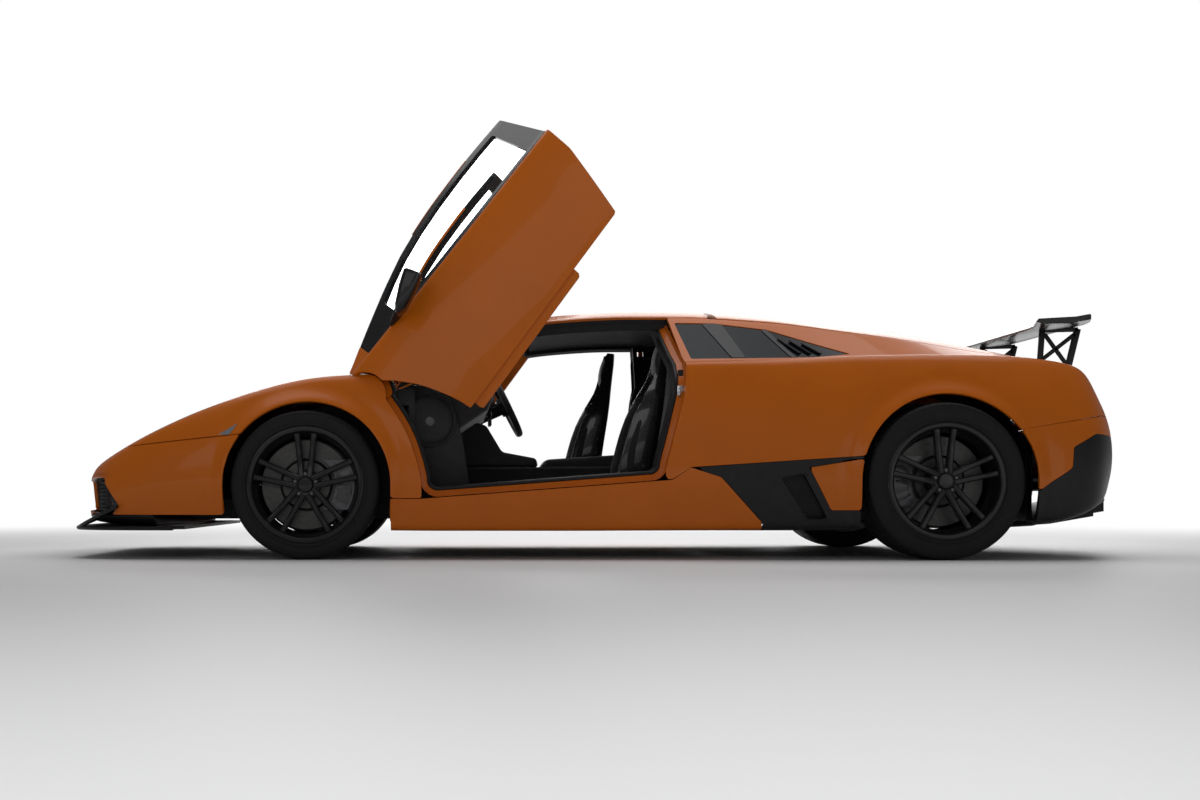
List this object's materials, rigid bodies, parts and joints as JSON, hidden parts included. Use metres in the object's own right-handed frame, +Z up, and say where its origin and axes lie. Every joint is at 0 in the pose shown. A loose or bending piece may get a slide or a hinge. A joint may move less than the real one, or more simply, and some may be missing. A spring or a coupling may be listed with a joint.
{
  "type": "supercar",
  "caption": "Low mid-engined two-seat wedge supercar with scissor doors raised, fixed rear wing on trusses, black splitter, side vents and dark double-spoke wheels.",
  "frame": {"origin": "on the ground, under the middle of the bounding box", "axes": "+X from the nose to the tail, +Y to the right-hand side, +Z up"},
  "size_m": [4.705, 2.18, 1.9258],
  "materials": {
    "paint": "gloss",
    "black_trim": "satin",
    "glass": "tinted",
    "lamp_clear": "clear",
    "lamp_red": "gloss",
    "tyre": "matt",
    "rim": "matt black",
    "disc": "turned",
    "suspension": "cast",
    "exhaust": "dark",
    "engine": "plain",
    "tub": "satin",
    "cabin_trim": "grained",
    "upholstery": "soft"
  },
  "bodies": {
    "body": {"front_bumper": "paint", "front_wing_panels": "paint", "roof_frame": "paint", "sill_covers": "paint", "rear_quarters": "paint", "rear_bumper": "paint", "front_splitter": "black_trim", "diffuser": "black_trim", "rear_corner_panels": "black_trim", "flank_panels": "black_trim", "wheel_arch_liners": "black_trim", "front_and_side_mesh": "black_trim", "tail_mesh": "black_trim", "rear_wing": "black_trim", "wing_struts": "black_trim", "windscreen": "glass", "quarter_windows": "glass", "headlamps": "lamp_clear", "tail_lamps": "lamp_red", "drive_shafts": "disc", "front_suspension_arms": "suspension", "rear_uprights_and_arms": "suspension", "tail_pipe": "exhaust", "engine_block": "engine", "tub": "tub", "luggage_box": "tub", "dashboard": "cabin_trim", "steering_wheel": "cabin_trim", "bucket_seats": "upholstery"},
    "bonnet_lid": {"bonnet": "paint"},
    "door_leaf_left": {"door_left": "paint", "door_mirror_left": "black_trim", "door_window_left": "glass"},
    "door_leaf_right": {"door_right": "paint", "door_mirror_right": "black_trim", "door_window_right": "glass"},
    "engine_lid": {"engine_cover": "paint", "engine_cover_panes": "glass"},
    "wheel_front_left": {"front_left_tyre": "tyre", "front_left_rim": "rim", "front_left_brake_disc": "disc"},
    "wheel_front_right": {"front_right_tyre": "tyre", "front_right_rim": "rim", "front_right_brake_disc": "disc"},
    "wheel_rear_left": {"rear_left_tyre": "tyre", "rear_left_rim": "rim", "rear_left_brake_disc": "disc"},
    "wheel_rear_right": {"rear_right_tyre": "tyre", "rear_right_rim": "rim", "rear_right_brake_disc": "disc"},
    "knuckle_left": {"front_knuckle_left": "suspension"},
    "knuckle_right": {"front_knuckle_right": "suspension"}
  },
  "joints": [
    {"name": "steer_left", "type": "hinge", "parent": "body", "child": "knuckle_left", "pos_m": [-1.3125, -0.7725, 0.3145], "axis": [0, 0, 1], "range_deg": [-30, 30]},
    {"name": "steer_right", "type": "hinge", "parent": "body", "child": "knuckle_right", "pos_m": [-1.3125, 0.7725, 0.3145], "axis": [0, 0, 1], "range_deg": [-30, 30]},
    {"name": "spin_front_left", "type": "hinge", "parent": "knuckle_left", "child": "wheel_front_left", "pos_m": [-1.3125, -0.8175, 0.3145], "axis": [0, 1, 0], "continuous": true},
    {"name": "spin_rear_left", "type": "hinge", "parent": "body", "child": "wheel_rear_left", "pos_m": [1.3525, -0.8475, 0.329], "axis": [0, 1, 0], "continuous": true},
    {"name": "spin_front_right", "type": "hinge", "parent": "knuckle_right", "child": "wheel_front_right", "pos_m": [-1.3125, 0.8175, 0.3145], "axis": [0, 1, 0], "continuous": true},
    {"name": "spin_rear_right", "type": "hinge", "parent": "body", "child": "wheel_rear_right", "pos_m": [1.3525, 0.8475, 0.329], "axis": [0, 1, 0], "continuous": true},
    {"name": "swing_door_left", "type": "hinge", "parent": "body", "child": "door_leaf_left", "pos_m": [-1.071, -0.83, 0.691], "axis": [0, 1, 0], "range_deg": [0, 49.5]},
    {"name": "swing_door_right", "type": "hinge", "parent": "body", "child": "door_leaf_right", "pos_m": [-1.071, 0.83, 0.691], "axis": [0, 1, 0], "range_deg": [0, 49.5]},
    {"name": "lift_bonnet", "type": "hinge", "parent": "body", "child": "bonnet_lid", "pos_m": [-1.1845, 0, 0.77898], "axis": [0, 1, 0], "range_deg": [0, 50]},
    {"name": "lift_engine_cover", "type": "hinge", "parent": "body", "child": "engine_lid", "pos_m": [0.4705, 0, 1.07706], "axis": [0, -1, 0], "range_deg": [0, 50]}
  ],
  "couplings": [
    {"joint": "steer_right", "follows": "steer_left", "ratio": 1}
  ]
}
